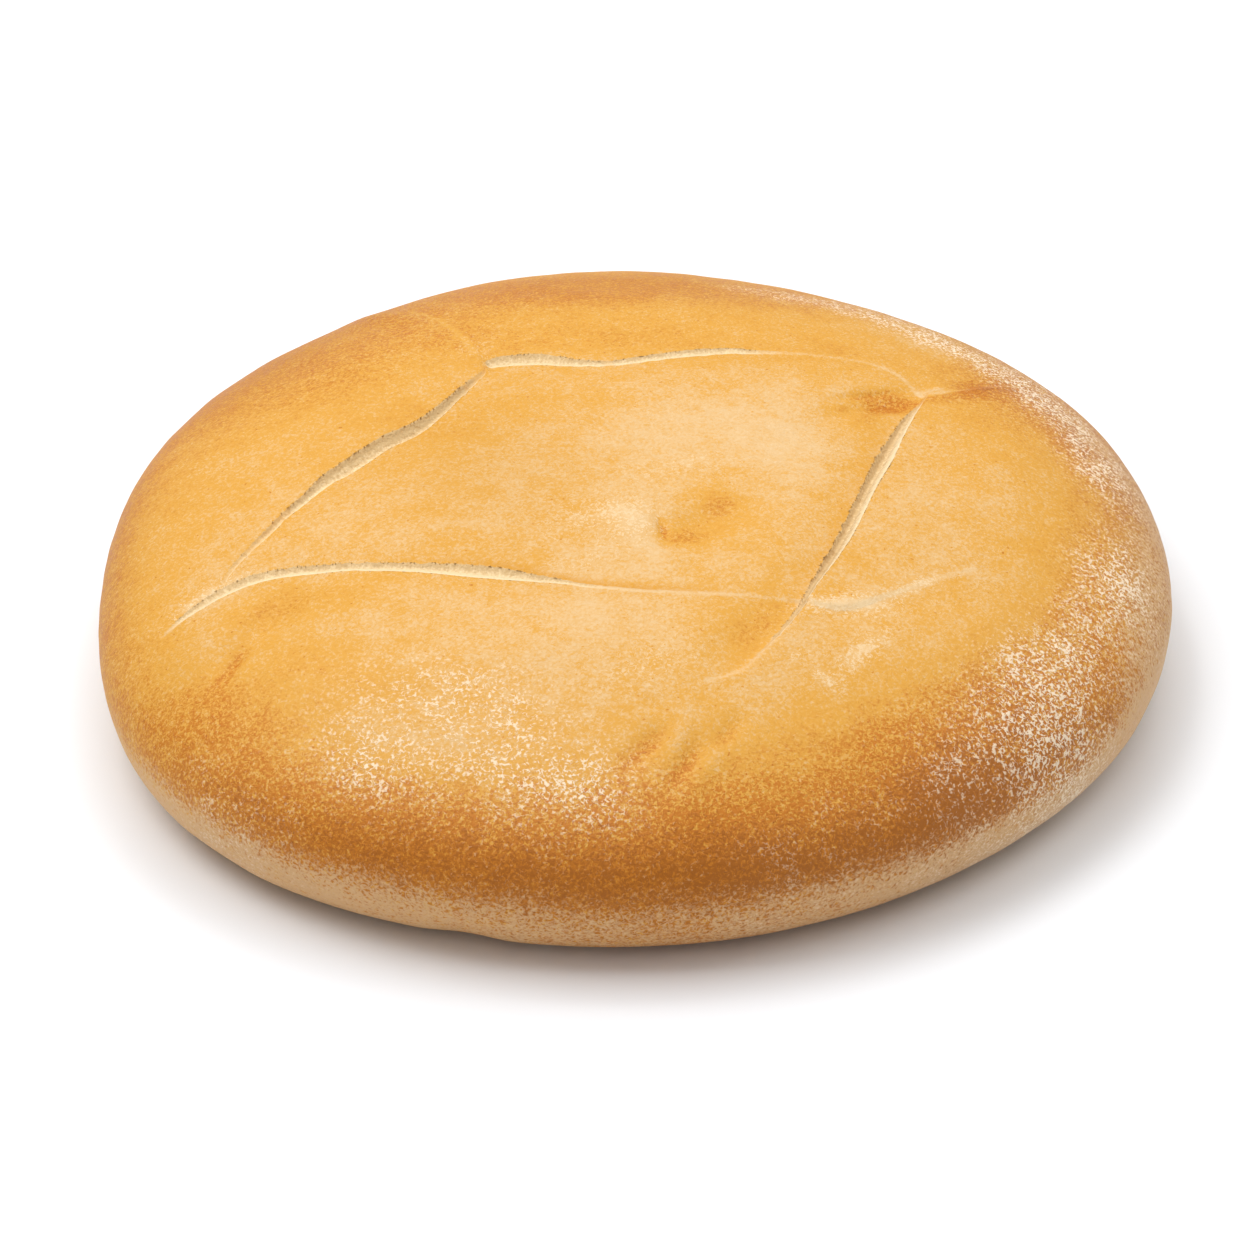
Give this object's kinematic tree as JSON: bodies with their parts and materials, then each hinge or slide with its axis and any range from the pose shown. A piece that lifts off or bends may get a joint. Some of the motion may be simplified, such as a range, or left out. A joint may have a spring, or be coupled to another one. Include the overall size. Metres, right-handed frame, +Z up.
{
  "type": "moroccan bread",
  "caption": "Round flat khobz loaf with a golden crust, its crown opened by shallow crossing slashes that frame a square panel.",
  "frame": {"origin": "on the surface that the loaf stands on, under the middle of its bounding box", "axes": "+Z is up, +X runs across the loaf and +Y points from the edge nearest the viewer to the far edge"},
  "size_m": [0.222, 0.2296, 0.0484],
  "materials": {
    "crust": "golden baked crust, paler and floury towards the rim and base, cream crumb in the slashes, slight sheen"
  },
  "bodies": {
    "root": {"loaf": "crust"}
  },
  "joints": []
}
